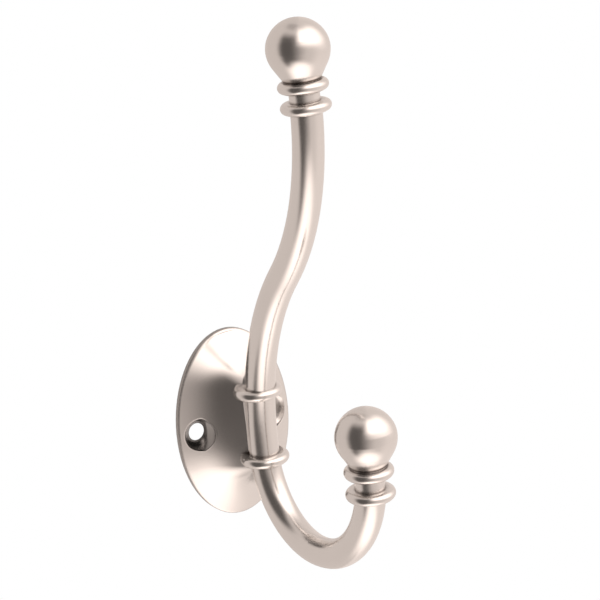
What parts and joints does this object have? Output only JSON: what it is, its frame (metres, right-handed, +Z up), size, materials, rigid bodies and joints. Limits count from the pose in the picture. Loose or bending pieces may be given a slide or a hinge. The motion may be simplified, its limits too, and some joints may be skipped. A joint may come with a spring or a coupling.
{
  "type": "double robe hook",
  "caption": "Wall hook cast in one piece: oval flared plate with countersunk screw holes, a long curved upper arm and a short J-shaped lower arm, each ending in beads and a ball.",
  "frame": {"origin": "centre of the oval on the back of the plate, in the wall plane", "axes": "+X to the right along the wall, -Y out from the wall, +Z up"},
  "size_m": [0.0348, 0.0745, 0.1509],
  "materials": {
    "satin_nickel": "satin nickel plate, soft low-gloss sheen"
  },
  "bodies": {
    "root": {"robe_hook": "satin_nickel"}
  },
  "joints": []
}
